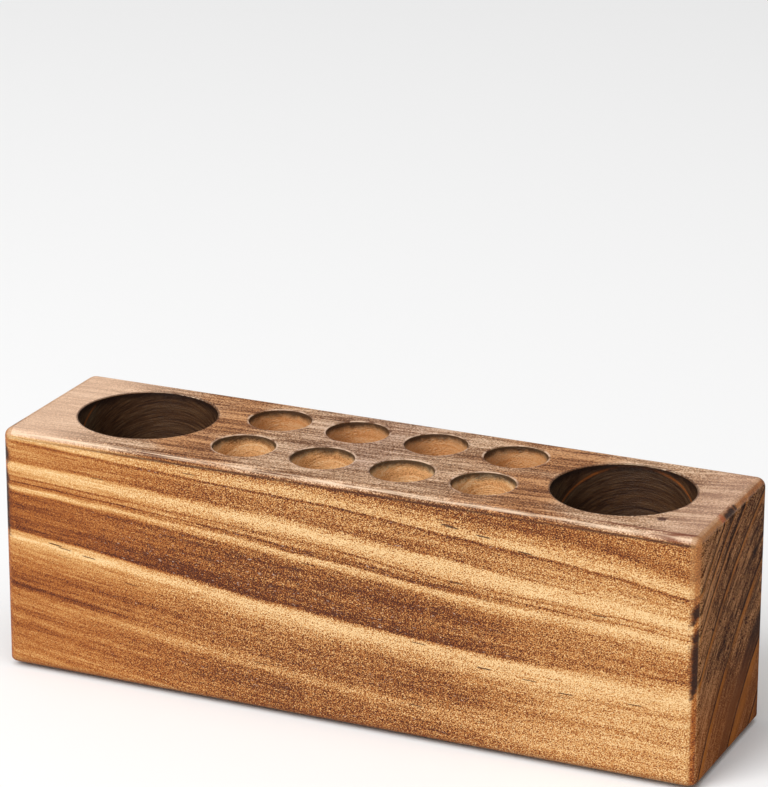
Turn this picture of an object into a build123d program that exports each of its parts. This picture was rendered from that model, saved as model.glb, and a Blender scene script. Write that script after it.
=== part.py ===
from build123d import *

import os

# Desk organizer: one block of solid timber, bored from above to hold pens and pencils upright.
#
# The block stands with its length along X and its front towards -Y. The origin is on the desk, under the
# middle of the block. Two wide bores sit near the ends, eight narrow ones fill the middle in two rows of
# four, and every edge is rounded over. Four stick-on rubber feet carry the block.
# All sizes are in millimetres.

# The block
LENGTH = 210.0
DEPTH = 54.0
BLOCK_HEIGHT = 71.0
CORNER_RADIUS = 3.0
TOP_EDGE_RADIUS = 2.4
BOTTOM_EDGE_RADIUS = 1.0

# The bores, all cut to one depth with flat-bottomed bits, on a line just behind the block's middle
BORE_DEPTH = 60.0
BORE_LINE_Y = 0.8
WIDE_BORE_RADIUS = 20.0
WIDE_BORE_X = 72.6
NARROW_BORE_RADIUS = 9.0
NARROW_COLUMNS = 4
NARROW_ROWS = 2
NARROW_PITCH_X = 24.2
NARROW_PITCH_Y = 23.4
MOUTH_RADIUS = 0.35

# The feet, each a low disc whose rim is rounded where it meets the desk
FOOT_RADIUS = 6.0
FOOT_HEIGHT = 1.5
FOOT_RIM_RADIUS = 0.6
FOOT_INSET_X = 14.0
FOOT_INSET_Y = 11.0

TOP_Z = FOOT_HEIGHT + BLOCK_HEIGHT
FOOT_X = LENGTH / 2 - FOOT_INSET_X
FOOT_Y = DEPTH / 2 - FOOT_INSET_Y
FEET = {
    "foot_front_left": (-FOOT_X, -FOOT_Y),
    "foot_front_right": (FOOT_X, -FOOT_Y),
    "foot_rear_left": (-FOOT_X, FOOT_Y),
    "foot_rear_right": (FOOT_X, FOOT_Y),
}


def make_block():
    """The timber: a box with rounded edges, its bores, and their eased mouths."""
    with BuildPart() as block:
        with BuildSketch(Plane.XY.offset(FOOT_HEIGHT)):
            Rectangle(LENGTH, DEPTH)
        extrude(amount=BLOCK_HEIGHT)
        fillet(block.edges().filter_by(Axis.Z), CORNER_RADIUS)
        fillet(block.faces().sort_by(Axis.Z)[-1].edges(), TOP_EDGE_RADIUS)
        fillet(block.faces().sort_by(Axis.Z)[0].edges(), BOTTOM_EDGE_RADIUS)

        with BuildSketch(Plane((0, BORE_LINE_Y, TOP_Z))):
            with GridLocations(2 * WIDE_BORE_X, 0, 2, 1):
                Circle(WIDE_BORE_RADIUS)
            with GridLocations(NARROW_PITCH_X, NARROW_PITCH_Y, NARROW_COLUMNS, NARROW_ROWS):
                Circle(NARROW_BORE_RADIUS)
        extrude(amount=-BORE_DEPTH, mode=Mode.SUBTRACT)

        mouths = block.faces().sort_by(Axis.Z)[-1].inner_wires().edges()
        fillet(mouths, MOUTH_RADIUS)
    return block.part


def make_foot(x, y):
    """A rubber foot under the block at this place."""
    with BuildPart() as foot:
        with BuildSketch(Plane((x, y, 0))):
            Circle(FOOT_RADIUS)
        extrude(amount=FOOT_HEIGHT)
        fillet(foot.edges().sort_by(Axis.Z)[0], FOOT_RIM_RADIUS)
    return foot.part


os.makedirs("parts", exist_ok=True)

block = make_block()
block.label = "block"
export_step(block, "parts/block.step")

for foot_name, (foot_x, foot_y) in FEET.items():
    foot = make_foot(foot_x, foot_y)
    foot.label = foot_name
    export_step(foot, f"parts/{foot_name}.step")
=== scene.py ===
"""Desk organizer: a bored block of scorched and varnished pine, standing on four rubber feet.

The timber is one solid pattern in the block's own space: growth rings about a pith that lies outside the
block, so that every face, bore and rounded edge cuts the same rings, as it does in a real piece of wood.
Lengths inside the materials are in millimetres, and everything else is in metres.
"""

import math

import bpy
from mathutils import Matrix, Vector


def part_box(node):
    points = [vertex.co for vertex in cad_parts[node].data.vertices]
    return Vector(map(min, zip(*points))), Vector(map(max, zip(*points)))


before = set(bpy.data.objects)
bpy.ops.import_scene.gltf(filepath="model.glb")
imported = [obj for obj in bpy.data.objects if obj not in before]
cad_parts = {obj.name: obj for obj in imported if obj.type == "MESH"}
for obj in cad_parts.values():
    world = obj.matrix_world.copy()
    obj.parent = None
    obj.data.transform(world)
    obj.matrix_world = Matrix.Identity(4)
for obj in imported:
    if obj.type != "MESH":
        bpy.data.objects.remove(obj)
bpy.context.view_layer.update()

MM = 1000.0

# The block's box in mm, and its centre in metres
LOW, HIGH = (Vector(corner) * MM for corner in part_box("block"))
LENGTH = HIGH.x - LOW.x
BOTTOM = LOW.z
TOP = HIGH.z
CENTRE = (LOW + HIGH) / 2 / MM

# The bores, as in the record
WIDE_RADIUS = 20.0
WIDE_X = 72.6
NARROW_RADIUS = 9.0
NARROW_PITCH_X = 24.2
NARROW_PITCH_Y = 23.4
BORE_DEPTH = 60.0
BORE_LINE_Y = 0.8

# The log's pith runs along X, behind the block and below it, and comes nearer towards the left end
PITH_Y = LOW.y + 115.0
PITH_Z = BOTTOM - 64.0
PITH_RISE = 14.0
# The outer rings also arch up between the ends
ARCH = 1.4
# Places around the pith are counted in mm at this radius
BARK_RADIUS = 180.0

# How light the wood is, from 0, scorched brown, to 1, pale, by distance from the pith. Going inwards, a
# ring starts sharply with hard pale wood and darkens through its soft wood. A curve holds at most 32
# points, so there are two, which meet at the same radius.
MEETING_RADIUS = 140.5
OUTER_RINGS = (
    (184.0, 0.40),
    (172.0, 0.34),
    (168.4, 0.30),
    (167.0, 0.50),
    (165.9, 0.74),
    (164.8, 0.60),
    (164.5, 0.12),
    (164.2, 0.14),
    (163.9, 0.42),
    (162.4, 0.44),
    (160.6, 0.28),
    (159.9, 0.76),
    (159.3, 0.86),
    (158.4, 0.76),
    (157.4, 0.58),
    (156.4, 0.44),
    (155.8, 0.28),
    (155.3, 0.80),
    (154.8, 0.72),
    (154.1, 0.36),
    (152.4, 0.18),
    (150.4, 0.26),
    (148.6, 0.18),
    (147.3, 0.12),
    (146.5, 0.76),
    (145.4, 0.82),
    (144.2, 0.68),
    (143.0, 0.50),
    (141.5, 0.38),
    (MEETING_RADIUS, 0.32),
)
INNER_RINGS = (
    (MEETING_RADIUS, 0.32),
    (138.8, 0.24),
    (137.4, 0.20),
    (136.8, 0.36),
    (135.7, 0.50),
    (134.4, 0.36),
    (132.6, 0.28),
    (130.6, 0.34),
    (129.2, 0.46),
    (127.0, 0.48),
    (122.0, 0.40),
    (118.3, 0.24),
    (117.8, 0.50),
    (115.0, 0.46),
    (111.0, 0.24),
    (109.6, 0.12),
    (109.0, 0.84),
    (105.5, 0.72),
    (98.0, 0.26),
    (96.2, 0.14),
    (95.6, 0.64),
    (90.0, 0.40),
    (84.0, 0.22),
)
# A small dark spot on the top, in front of the right-hand wide bore
SPOT_X = 89.9
SPOT_Y = -16.1
# Two hair lines in the pale wood of the third ring
HAIR_LINES = (157.3, 156.3)
# Where rings start, and how thick their orange hard wood is on the scorched ends of the block
HARD_LINES = (
    (164.4, 0.7),
    (159.9, 0.6),
    (155.4, 0.7),
    (146.8, 1.5),
    (129.1, 2.8),
    (109.3, 6.0),
    (95.9, 2.0),
)
# Bands of soft wood, by the middle of each and half its width: those that char at the end edges of the
# sides and of the top, the one that stays darker towards the right, and the sooty one on the end faces
CHARRED_BANDS = ((161.2, 1.5), (156.4, 1.0), (150.4, 4.4))
TOP_CHARRED_BAND = (161.8, 2.2)
DARKEST_BAND = (150.6, 4.6)
SOOTY_BAND = (113.5, 3.2)
# Rings that show as single lines: on the top, on its right-hand edge, and inside the wide bores
TOP_LINE = 175.2
EMBER_LINE = 165.2
WIDE_BORE_LINE = 146.2

# sRGB colours by how light the wood is, from 0 to 1
SIDE_COLOURS = (
    (0.0, (74, 30, 8)),
    (0.15, (116, 54, 15)),
    (0.40, (166, 98, 40)),
    (0.65, (197, 141, 80)),
    (0.85, (219, 169, 107)),
    (1.0, (236, 199, 146)),
)
# The top's colours: its own sanded colour, with a painted sheen that makes them paler and greyer than the
# sides'
TOP_COLOURS_WITH_PAINTED_SHEEN = (
    (0.0, (92, 54, 28)),
    (0.35, (150, 106, 70)),
    (0.65, (196, 150, 110)),
    (1.0, (236, 202, 170)),
)
END_EDGE_COLOURS = (
    (0.0, (90, 38, 8)),
    (0.4, (148, 74, 22)),
    (0.8, (196, 120, 52)),
    (1.0, (222, 164, 96)),
)
END_COLOURS = (
    (0.0, (22, 9, 4)),
    (0.35, (76, 35, 15)),
    (0.65, (126, 72, 36)),
    (1.0, (196, 140, 92)),
)
BORE_COLOURS = (
    (0.0, (156, 92, 44)),
    (0.45, (236, 178, 116)),
    (1.0, (255, 228, 182)),
)
RUBBER_COLOURS = (
    (0.0, (24, 23, 22)),
    (1.0, (48, 46, 44)),
)
# sRGB colours that lie over those in places
COVERS = {
    "scorch": (74, 34, 22),
    # painted glints on the dark wood
    "painted glint": (206, 176, 156),
    "resin": (60, 28, 10),
    "bottom edge": (104, 52, 20),
    # painted shade just below the rounded top edge
    "painted shade under the top edge": (66, 32, 18),
    "cool tint": (238, 238, 248),
    "warm tint": (232, 202, 166),
    # painted sheen on the top's left end
    "painted sheen at the left": (238, 200, 170),
    "pale right": (206, 164, 140),
    "lip": (112, 50, 24),
    "spot": (74, 34, 20),
    "top line": (112, 48, 18),
    "wide rim": (66, 36, 22),
    "burnt rim": (84, 48, 30),
    # painted highlight on the narrow bores' rims
    "painted highlight on the rim": (232, 200, 174),
    # painted highlight on the top's rounded front edge
    "painted highlight on the front edge": (236, 206, 176),
    "grimy edge": (116, 82, 70),
    "outer edge": (184, 134, 84),
    "sanded edge": (170, 124, 84),
    "ember": (164, 72, 30),
    "brown char": (116, 58, 22),
    "black char": (30, 13, 6),
    "soot": (30, 20, 20),
    "deep brown": (34, 20, 16),
    "low orange": (156, 86, 34),
    "hard wood": (168, 98, 34),
    "ring start": (32, 13, 6),
    "pale speck": (170, 140, 118),
    "rear bores": (190, 118, 62),
    # painted shade on the wide bores' walls
    "painted shade in the wide bores": (40, 19, 12),
    "wide bore line": (168, 92, 36),
    "singed": (34, 17, 10),
}

# How deep the surfaces' finest relief is, in metres
GRAIN_RELIEF = 0.00014
RUBBER_RELIEF = 0.00005

CAMERA_LENS = 174.9
CAMERA_TARGET = Vector((-0.0053, 0.0154, 0.0841))
CAMERA_AZIMUTH = 24.19
CAMERA_ELEVATION = 19.06
CAMERA_DISTANCE = 1.0756
CAMERA_ROLL = 0.18
LAMP_DISTANCE = 4.0
FLOOR_SIZE = 12.0
WORLD_STRENGTH = 0.36


class Field:
    """A number or colour that varies through the material: the output of one node."""

    def __init__(self, graph, socket):
        self.graph = graph
        self.socket = socket

    def __add__(self, other):
        return self.graph.math("ADD", self, other)

    def __sub__(self, other):
        return self.graph.math("SUBTRACT", self, other)

    def __rsub__(self, other):
        return self.graph.math("SUBTRACT", other, self)

    def __mul__(self, other):
        return self.graph.math("MULTIPLY", self, other)

    def __pow__(self, other):
        return self.graph.math("POWER", self, other)

    def __abs__(self):
        return self.graph.math("ABSOLUTE", self)

    __radd__ = __add__
    __rmul__ = __mul__


class Graph:
    """A node material written as formulas over the object's own coordinates."""

    def __init__(self, name):
        self.material = bpy.data.materials.new(name)
        self.material.use_nodes = True
        self.nodes = self.material.node_tree.nodes
        self.links = self.material.node_tree.links
        self.shader = self.nodes["Principled BSDF"]
        where = self.nodes.new("ShaderNodeTexCoord")
        self.place = [axis * MM for axis in self.split(where.outputs["Object"])]
        self.x, self.y, self.z = self.place
        self.nx, self.ny, self.nz = self.split(where.outputs["Normal"])

    def put(self, socket, value):
        """Feeds a socket: a link for a field, the socket's own value for a constant."""
        if isinstance(value, Field):
            self.links.new(value.socket, socket)
        else:
            socket.default_value = value

    def split(self, socket):
        node = self.nodes.new("ShaderNodeSeparateXYZ")
        self.links.new(socket, node.inputs[0])
        return [Field(self, out) for out in node.outputs]

    def math(self, operation, *values):
        node = self.nodes.new("ShaderNodeMath")
        node.operation = operation
        for socket, value in zip(node.inputs, values):
            self.put(socket, value)
        return Field(self, node.outputs[0])

    def lowest(self, a, b):
        return self.math("MINIMUM", a, b)

    def highest(self, a, b):
        return self.math("MAXIMUM", a, b)

    def hypotenuse(self, a, b):
        return self.math("SQRT", a * a + b * b)

    def vector(self, x, y, z):
        node = self.nodes.new("ShaderNodeCombineXYZ")
        for socket, value in zip(node.inputs, (x, y, z)):
            self.put(socket, value)
        return Field(self, node.outputs[0])

    def ease(self, value, start, end, low=0.0, high=1.0):
        """Goes smoothly from low to high as the value goes from start to end, and stays there."""
        node = self.nodes.new("ShaderNodeMapRange")
        node.interpolation_type = "SMOOTHSTEP"
        for name, setting in (
            ("Value", value),
            ("From Min", start),
            ("From Max", end),
            ("To Min", low),
            ("To Max", high),
        ):
            self.put(node.inputs[name], setting)
        return Field(self, node.outputs[0])

    def noise(self, place, sizes, seed, detail=2.0, roughness=0.5):
        """Noise about 0, mostly from -1 to 1, with features of these sizes along the axes of place."""
        node = self.nodes.new("ShaderNodeTexNoise")
        self.put(node.inputs["Vector"], self.scaled(place, sizes, seed))
        node.inputs["Scale"].default_value = 1.0
        node.inputs["Detail"].default_value = detail
        node.inputs["Roughness"].default_value = roughness
        return (Field(self, node.outputs[0]) - 0.5) * 3.2

    def scaled(self, place, sizes, seed):
        """The place as a vector counted in these sizes, moved by an amount of its own for each seed."""
        return self.vector(*(axis * (1 / size) + seed * 7.31 for axis, size in zip(place, sizes)))

    def dashes(self, place, sizes, seed, length, width, share):
        """1 inside short thin rods along the first axis, one in some of the cells of these sizes."""
        node = self.nodes.new("ShaderNodeTexVoronoi")
        here = self.scaled(place, sizes, seed)
        self.put(node.inputs["Vector"], here)
        node.inputs["Scale"].default_value = 1.0
        rod = self.split(node.outputs["Position"])
        own = self.split(node.outputs["Color"])
        along, across, around = (
            (a - b) * size for a, b, size in zip(self.split(here.socket), rod, sizes)
        )
        inside = self.ease(abs(along), length, length * 0.6) * self.ease(
            self.hypotenuse(across, around), width, width * 0.5
        )
        return inside * self.ease(own[0], share, share - 0.02)

    def curve(self, value, points):
        """A number read off a line through (value, number) points, and level beyond its ends."""
        points = sorted(points)
        start, end = points[0][0], points[-1][0]
        node = self.nodes.new("ShaderNodeValToRGB")
        self.put(node.inputs[0], (value - start) * (1 / (end - start)))
        stops = node.color_ramp.elements
        for i, (at, number) in enumerate(points):
            stop = stops[i] if i < 2 else stops.new(1.0)
            stop.position = (at - start) / (end - start)
            stop.color = (number, number, number, 1.0)
        return Field(self, node.outputs[0])

    def near(self, value, at, width):
        """1 where the value is this number, falling to 0 within this width on either side."""
        return self.ease(abs(value - at), width, 0.0)

    def colours(self, value, stops):
        """A colour read off (value, sRGB colour) stops between 0 and 1."""
        node = self.nodes.new("ShaderNodeValToRGB")
        self.put(node.inputs[0], value)
        elements = node.color_ramp.elements
        for i, (at, colour) in enumerate(stops):
            stop = elements[i] if i < 2 else elements.new(1.0)
            stop.position = at
            stop.color = linear(colour)
        return Field(self, node.outputs[0])

    def mix(self, share, first, second, blend="MIX"):
        """The first colour where share is 0 and the second, or their product, where it is 1."""
        node = self.nodes.new("ShaderNodeMix")
        node.data_type = "RGBA"
        node.blend_type = blend
        self.put(node.inputs[0], share)
        self.put(node.inputs[6], first)
        self.put(node.inputs[7], second)
        return Field(self, node.outputs[2])

    def cover(self, colour, share, name, blend="MIX"):
        """The colour with a named one over it by this share."""
        return self.mix(share, colour, linear(COVERS[name]), blend)

    def bump(self, height, distance):
        """Raises the surface by a height field, in units of distance metres."""
        node = self.nodes.new("ShaderNodeBump")
        node.inputs["Distance"].default_value = distance
        self.put(node.inputs["Height"], height)
        self.links.new(node.outputs[0], self.shader.inputs["Normal"])


def linear(colour):
    """A colour of 0 to 255 sRGB values as the linear colour that a socket takes."""
    shares = [channel / 255 for channel in colour]
    return (*(c / 12.92 if c < 0.04045 else ((c + 0.055) / 1.055) ** 2.4 for c in shares), 1.0)


class Regions:
    """Where on the block a point of its surface is: distances in mm, and shares from 0 to 1."""

    def __init__(self, g):
        self.depth = TOP - g.z
        self.from_wide = g.hypotenuse(abs(g.x) - WIDE_X, g.y - BORE_LINE_Y) - WIDE_RADIUS
        column = abs(abs(g.x) - NARROW_PITCH_X) - NARROW_PITCH_X / 2
        row = abs(g.y - BORE_LINE_Y) - NARROW_PITCH_Y / 2
        self.from_narrow = g.hypotenuse(column, row) - NARROW_RADIUS
        from_bore = g.lowest(self.from_wide, self.from_narrow)
        upright = g.ease(g.nz, 0.75, 0.2)
        walls = g.ease(from_bore, 0.5, 0.3) * upright
        floors = g.ease(from_bore, -0.3, -0.5)
        above_the_floors = g.ease(self.depth, BORE_DEPTH + 2.0, BORE_DEPTH + 1.0)
        self.in_bore = g.highest(walls, floors) * above_the_floors
        self.in_wide = self.in_bore * g.ease(self.from_wide, 1.0, 0.6)
        endwise = abs(g.nx) * g.ease(abs(g.x), HIGH.x - 5.0, HIGH.x - 4.0)
        self.end_face = g.ease(endwise, 0.80, 0.97)
        self.end_edge = g.ease(endwise, 0.01, 0.08) * (1.0 - self.end_face)
        self.end_turn = g.ease(endwise, 0.02, 0.85)
        self.top_face = g.ease(g.nz, 0.22, 0.50) * (1.0 - self.in_bore)
        self.front_top_edge = g.near(g.nz, 0.72, 0.27) * g.ease(abs(g.nx), 0.5, 0.2)


class Growth:
    """The wood in the log: where a point is along it, out from its pith and around it, in mm."""

    def __init__(self, g):
        run = g.highest((HIGH.x - g.x) * (1 / LENGTH), 0.0)
        height = g.z - BOTTOM
        power = g.ease(height, 30.0, 64.0, 2.2, 0.8)
        arch = g.ease(run, 1.0, 0.45) * g.ease(run, 0.0, 0.12) * g.ease(height, 27.0, 40.0) * ARCH
        up = g.z - PITH_Z - run ** power * PITH_RISE - arch
        back = PITH_Y - g.y
        out = g.hypotenuse(up, back)
        around = g.math("ARCTAN2", up, back) * BARK_RADIUS
        self.place = place = (g.x, out, around)
        drift = g.noise(place, (110, 30, 40), seed=1, detail=1.0) * 0.35
        self.radius = out + drift + g.noise(place, (24, 5, 12), seed=2) * 0.30
        inner = g.curve(self.radius, INNER_RINGS)
        outer = g.curve(self.radius, OUTER_RINGS)
        past_meeting = g.ease(self.radius, MEETING_RADIUS - 0.1, MEETING_RADIUS + 0.1)
        self.tone = g.mix(past_meeting, inner, outer)
        self.cloud = g.noise(place, (60, 6, 30), seed=3)
        self.streak = g.noise(place, (90, 1.1, 20), seed=4)
        self.fibre = g.noise(place, (14, 0.42, 5), seed=5, detail=2.0, roughness=0.6)
        skew = (g.x + g.z * 0.55, g.y - g.x * 0.37, g.z - g.x * 0.43 + g.y * 0.31)
        self.sand = g.noise(skew, (0.52, 0.28, 0.28), seed=6, detail=1.0, roughness=0.6)


def side_tone(g, wood):
    """How light the sides are: the rings, crisper around the middle and paler towards the right."""
    darkest, half = DARKEST_BAND
    spared = 1.0 - g.near(wood.radius, darkest, half) * 0.5
    fading = g.ease(g.x, 20.0, 88.0) * g.ease(wood.radius, 165.0, 160.0) * spared
    tone = wood.tone + fading * 0.60 * (0.82 - wood.tone) + g.ease(g.x, 20.0, 80.0) * 0.04
    contrast = g.ease(g.x, -70.0, -10.0, 0.0, 0.35) * g.ease(g.x, 95.0, 30.0, 0.3, 1.0)
    tone = tone + (tone - 0.44) * contrast
    tone = tone + g.ease(g.x, -50.0, -92.0) * g.ease(wood.radius, 157.5, 160.5) * 0.12
    hairs = sum(g.near(wood.radius, line, 0.28) for line in HAIR_LINES)
    return tone + wood.cloud * 0.11 + wood.streak * 0.19 + wood.fibre * 0.19 - hairs * 0.30


def side_colour(g, at, wood):
    """How burnt the sides are, and their colour: rings, sandy pores, resin ducts, blotches, painted
    glints, and a painted line of shade under the top edge.
    """
    tone = side_tone(g, wood)
    crisp = g.ease(g.x, -95.0, -10.0, 0.34, 1.0) * g.ease(g.x, 20.0, 100.0, 1.0, 0.8)
    burn = tone + wood.sand * crisp
    colour = g.colours(burn, SIDE_COLOURS)
    ducts = g.dashes(wood.place, (11, 1.5, 2.4), seed=7, length=2.5, width=0.28, share=0.42)
    ducts = ducts * g.ease(wood.tone, 0.36, 0.50)
    dark_wood = g.ease(tone, 0.36, 0.14) * g.ease(abs(g.x + 12), 76.0, 50.0)
    blotches = g.noise(wood.place, (4.5, 0.9, 1.8), seed=8, detail=3.0, roughness=0.7)
    blotches = g.ease(blotches, 0.10, 0.60) * dark_wood
    # Painted glints: pale specks in the dark wood stand in for highlights off the varnish
    painted_glints = g.noise(wood.place, (1.3, 0.5, 0.5), seed=9, detail=1.0)
    painted_glints = g.ease(painted_glints, 0.55, 0.8) * dark_wood
    colour = g.cover(colour, blotches * 0.7, "scorch")
    colour = g.cover(colour, painted_glints * 0.6, "painted glint")
    colour = g.cover(colour, ducts * 0.9, "resin")
    colour = g.cover(colour, g.ease(g.z - BOTTOM, 2.2, 0.3) * 0.6, "bottom edge")
    # A painted line of shade just below the rounded top edge
    shade_under_edge = g.near(at.depth + wood.streak * 0.3, 2.1, 0.7) * g.ease(g.x, -104.0, -50.0, 0.35, 1.0)
    shade_under_edge = shade_under_edge * g.ease(wood.cloud, -0.8, 0.2, 0.5, 0.9)
    return burn, g.cover(colour, shade_under_edge, "painted shade under the top edge")


def top_colour(g, at, wood):
    """The top: sanded back and calmer than the sides, with a painted sheen in its colours, warmer between
    the narrow and the wide bores.

    It is paler at both ends, with a painted sheen at the left, and has a dark lip and spot at the right,
    burnt rims or rims with a painted highlight, and a pale painted highlight along the front edge.
    """
    grain = 0.52 + wood.streak * 0.46 + wood.fibre * 0.60 + wood.sand * 1.2 + (wood.tone - 0.5) * 0.45
    grain = grain + g.noise(g.place, (22, 5, 5), seed=11, detail=3.0) * 0.42
    colour = g.colours(grain, TOP_COLOURS_WITH_PAINTED_SHEEN)
    between_bores = g.near(g.x, -5.0, 30.0) * g.ease(g.y, -20.0, -12.0)
    colour = g.cover(colour, between_bores, "cool tint", "MULTIPLY")
    warm = g.noise(g.place, (24, 12, 12), seed=10) * 0.6 + g.near(abs(g.x), 48.0, 26.0)
    colour = g.cover(colour, g.ease(warm, 0.0, 1.0), "warm tint", "MULTIPLY")
    # Painted sheen: the top is paler towards its left end
    colour = g.cover(colour, g.ease(g.x, -62.0, -98.0) * 0.6, "painted sheen at the left")
    colour = g.cover(colour, g.ease(g.x, 82.0, 100.0) * 0.4, "pale right")
    lip = g.near(g.y + wood.cloud * 0.5, LOW.y + 2.7, 0.8) * g.ease(g.x, 52.0, 90.0)
    colour = g.cover(colour, lip * 0.85, "lip")
    from_spot = g.hypotenuse(g.x - SPOT_X, g.y - SPOT_Y) + wood.sand * 0.4
    colour = g.cover(colour, g.ease(from_spot, 1.8, 1.0) * 0.9, "spot")
    colour = g.cover(colour, g.near(wood.radius, TOP_LINE, 0.5) * 0.8, "top line")
    colour = g.cover(colour, g.ease(at.from_wide + wood.sand * 0.2, 0.8, 0.2) * 0.75, "wide rim")
    # Around the narrow bores the rims are burnt, and in places carry a painted highlight
    painted_gleam = g.ease(g.noise(g.place, (4, 4, 4), seed=17, detail=2.0), -0.3, 0.4)
    rim = g.ease(at.from_narrow + wood.sand * 0.2, 0.8, 0.2)
    colour = g.cover(colour, rim * (1.0 - painted_gleam) * 0.7, "burnt rim")
    colour = g.cover(colour, rim * painted_gleam * 0.7, "painted highlight on the rim")
    brushed = g.noise(g.place, (16, 0.35, 0.35), seed=15, detail=1.0)
    # A pale painted highlight in streaks along the top's rounded front edge
    colour = g.cover(colour, at.front_top_edge * g.ease(brushed, -0.6, 0.3) * 0.85, "painted highlight on the front edge")
    return g.cover(colour, at.front_top_edge * g.ease(brushed, -0.2, -0.9) * 0.6, "grimy edge")


def end_edge_colour(g, at, wood, colour):
    """The rounded edges of both ends: orange, and charred brown and black along the soft wood."""
    burn = 0.5 + wood.streak * 0.18 + wood.fibre * 0.24 + wood.sand * 0.70 + (wood.tone - 0.5) * 0.50
    colour = g.mix(g.ease(at.end_turn, 0.25, 0.8), colour, g.colours(burn, END_EDGE_COLOURS))
    colour = g.cover(colour, g.ease(wood.radius, 161.0, 166.0) * 0.35, "outer edge")
    top = g.ease(g.nz, 0.15, 0.45)
    colour = g.cover(colour, top * 0.35, "sanded edge")
    patchy = g.noise(g.place, (2.2, 2.2, 2.2), seed=13, detail=4.0, roughness=0.65)
    radius = wood.radius + wood.fibre * 0.4 + patchy * 1.5
    sides = sum(g.ease(abs(radius - middle), half + 1.0, half - 0.6) for middle, half in CHARRED_BANDS)
    middle, half = TOP_CHARRED_BAND
    above = g.ease(abs(radius - middle), half + 0.6, half - 0.6)
    char = g.mix(top, sides, above) * g.ease(patchy, -1.0, -0.2)
    ember = top * g.near(radius, EMBER_LINE, 1.1) * g.ease(g.x, 0.0, 50.0)
    colour = g.cover(colour, ember * 0.8, "ember")
    reach = at.end_turn + patchy * 0.45 + wood.fibre * 0.25 - 0.10
    colour = g.cover(colour, char * g.ease(reach, -0.20, 0.25) * 0.75, "brown char")
    return g.cover(colour, char * g.ease(reach, 0.05, 0.60) * 0.88, "black char")


def end_colour(g, wood):
    """The end grain: brown, with an orange line where each ring starts and a dark one just outside it."""
    grain = 0.37 + wood.cloud * 0.34 + wood.streak * 0.75 + wood.fibre * 0.90 + wood.sand * 1.6
    colour = g.colours(grain + g.ease(g.y, -4.0, -24.0) * 0.30, END_COLOURS)
    sooty, half = SOOTY_BAND
    colour = g.cover(colour, g.ease(abs(wood.radius - sooty), half + 1.4, half - 1.4) * 0.8, "soot")
    deep = g.ease(g.noise(wood.place, (30, 4, 18), seed=14), -0.1, 0.8) * g.ease(g.y, -20.0, 18.0)
    colour = g.cover(colour, deep * 0.75, "deep brown")
    colour = g.cover(colour, g.ease(g.z - BOTTOM, 34.0, 8.0) * 0.45, "low orange")
    lively = g.ease(g.noise(wood.place, (30, 9, 16), seed=16), -0.5, 0.5, 0.15, 0.85)
    for start, hard in HARD_LINES:
        inner_side = g.ease(wood.radius, start - hard - 0.9, start - hard * 0.35)
        outer_side = g.ease(wood.radius, start, start - 0.3)
        colour = g.cover(colour, inner_side * outer_side * lively, "hard wood")
        colour = g.cover(colour, g.near(wood.radius, start + 0.45, 0.85) * 0.9, "ring start")
    return g.cover(colour, g.ease(wood.sand + wood.fibre, 0.9, 1.4) * 0.3, "pale speck")


def bore_colour(g, at, wood):
    """The bores' walls and floors: fresh orange wood, darkened with painted shade in the wide bores, and
    singed at the mouths.
    """
    tone = 0.62 + (wood.tone - 0.5) * 0.5 + wood.streak * 0.20 + wood.fibre * 0.24 + wood.sand * 0.40
    colour = g.colours(tone, BORE_COLOURS)
    colour = g.cover(colour, g.ease(g.y, 4.0, 8.0) * 0.5, "rear bores")
    # Painted shade: the wide bores' walls are darkened as if the pens they hold shaded them
    colour = g.cover(colour, at.in_wide * (0.92 - wood.fibre * 0.10), "painted shade in the wide bores")
    line = at.in_wide * g.near(wood.radius, WIDE_BORE_LINE, 0.6)
    colour = g.cover(colour, line * 0.7, "wide bore line")
    uneven = g.noise(g.place, (3.5, 3.5, 3.5), seed=12, detail=4.0, roughness=0.7) * 0.9
    return g.cover(colour, g.ease(at.depth + uneven, 3.0, 0.7) * 0.9, "singed")


def timber():
    """Pine, scorched with a flame, brushed and varnished."""
    g = Graph("scorched_pine")
    at = Regions(g)
    wood = Growth(g)
    burn, colour = side_colour(g, at, wood)
    colour = g.mix(at.top_face, colour, top_colour(g, at, wood))
    colour = g.mix(at.end_edge, colour, end_edge_colour(g, at, wood, colour))
    colour = g.mix(at.end_face, colour, end_colour(g, wood))
    colour = g.mix(at.in_bore, colour, bore_colour(g, at, wood))
    g.put(g.shader.inputs["Base Color"], colour)
    g.put(g.shader.inputs["Roughness"], g.ease(burn, 0.0, 1.0, 0.50, 0.38) + at.end_face * 0.25)
    g.put(g.shader.inputs["Specular IOR Level"], 0.2 - at.end_face * 0.17)
    g.bump(burn * 0.5 + wood.fibre * 0.2 + wood.sand * 0.3, GRAIN_RELIEF)
    return g.material


def rubber():
    """Soft black rubber with a faint moulded grain."""
    g = Graph("foot_rubber")
    grain = g.noise(g.place, (0.5, 0.5, 0.5), seed=21, detail=3.0)
    dust = g.noise(g.place, (3.0, 3.0, 3.0), seed=22, detail=3.0)
    g.put(g.shader.inputs["Base Color"], g.colours(dust * 0.2 + 0.5, RUBBER_COLOURS))
    g.put(g.shader.inputs["Roughness"], g.ease(dust, -1.0, 1.0, 0.62, 0.80))
    g.bump(grain, RUBBER_RELIEF)
    return g.material


def paint(node, material):
    """Gives a CAD node its material."""
    mesh_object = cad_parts[node]
    mesh_object.data.materials.clear()
    mesh_object.data.materials.append(material)


def light(name, azimuth, elevation, size, power):
    """A soft square lamp that looks at the block from this direction, in degrees."""
    data = bpy.data.lights.new(name, "AREA")
    data.shape = "SQUARE"
    data.size = size
    data.energy = power
    lamp = bpy.data.objects.new(name, data)
    bpy.context.scene.collection.objects.link(lamp)
    lamp.matrix_world = looking_at(CENTRE, azimuth, elevation, LAMP_DISTANCE)


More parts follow.
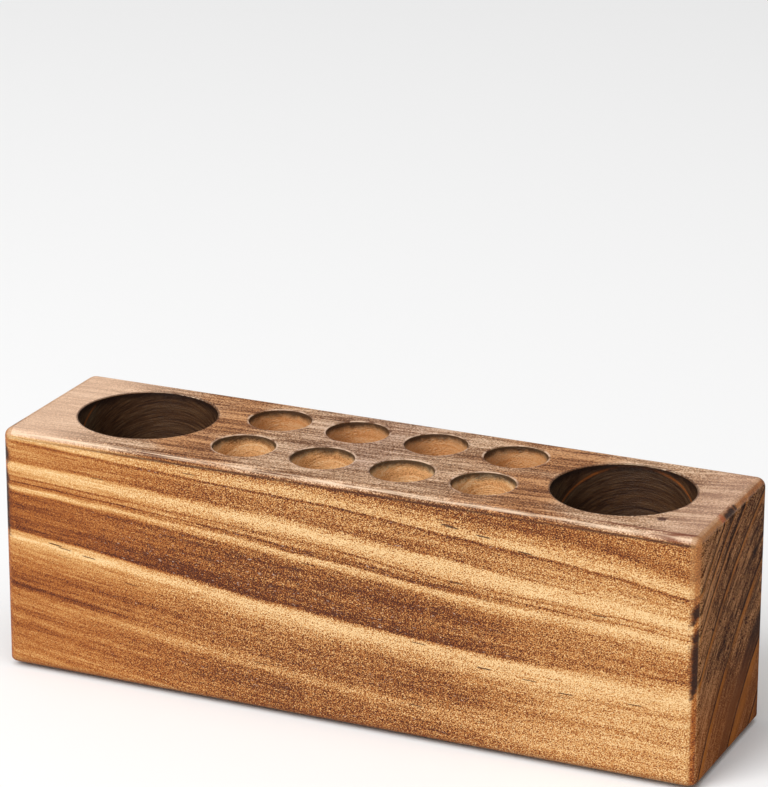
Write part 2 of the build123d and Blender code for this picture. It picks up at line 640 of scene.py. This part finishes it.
def looking_at(target, azimuth, elevation, distance, roll=0.0):
    """The place of a camera or lamp at this distance that looks at the target."""
    azimuth, elevation = math.radians(azimuth), math.radians(elevation)
    back = Vector((
        math.sin(azimuth) * math.cos(elevation),
        -math.cos(azimuth) * math.cos(elevation),
        math.sin(elevation),
    ))
    turn = back.to_track_quat("Z", "Y").to_matrix() @ Matrix.Rotation(math.radians(roll), 3, "Z")
    place = turn.to_4x4()
    place.translation = target + back * distance
    return place


def camera():
    """The camera looks just above the block, which so stands in the lower half of the picture."""
    data = bpy.data.cameras.new("camera")
    data.lens = CAMERA_LENS
    eye = bpy.data.objects.new("camera", data)
    bpy.context.scene.collection.objects.link(eye)
    eye.matrix_world = looking_at(
        CAMERA_TARGET, CAMERA_AZIMUTH, CAMERA_ELEVATION, CAMERA_DISTANCE, CAMERA_ROLL
    )
    bpy.context.scene.camera = eye


def floor():
    """A plain pale floor."""
    mesh = bpy.data.meshes.new("floor")
    far = FLOOR_SIZE / 2
    corners = [(-far, -far, 0), (far, -far, 0), (far, far, 0), (-far, far, 0)]
    mesh.from_pydata(corners, [], [(0, 1, 2, 3)])
    ground = bpy.data.objects.new("floor", mesh)
    bpy.context.scene.collection.objects.link(ground)
    g = Graph("floor_white")
    g.shader.inputs["Base Color"].default_value = (0.86, 0.86, 0.86, 1.0)
    g.shader.inputs["Roughness"].default_value = 0.9
    mesh.materials.append(g.material)


def studio_light():
    """Soft white light from all around."""
    world = bpy.data.worlds.new("studio")
    world.use_nodes = True
    background = world.node_tree.nodes["Background"]
    background.inputs["Color"].default_value = (1.0, 1.0, 1.0, 1.0)
    background.inputs["Strength"].default_value = WORLD_STRENGTH
    bpy.context.scene.world = world


timber_material = timber()
rubber_material = rubber()
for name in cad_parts:
    paint(name, timber_material if name == "block" else rubber_material)

camera()
floor()
light("key", azimuth=-24, elevation=40, size=2.2, power=135)
light("fill", azimuth=30, elevation=74, size=3.0, power=62)
studio_light()
bpy.context.scene.view_settings.view_transform = "Standard"
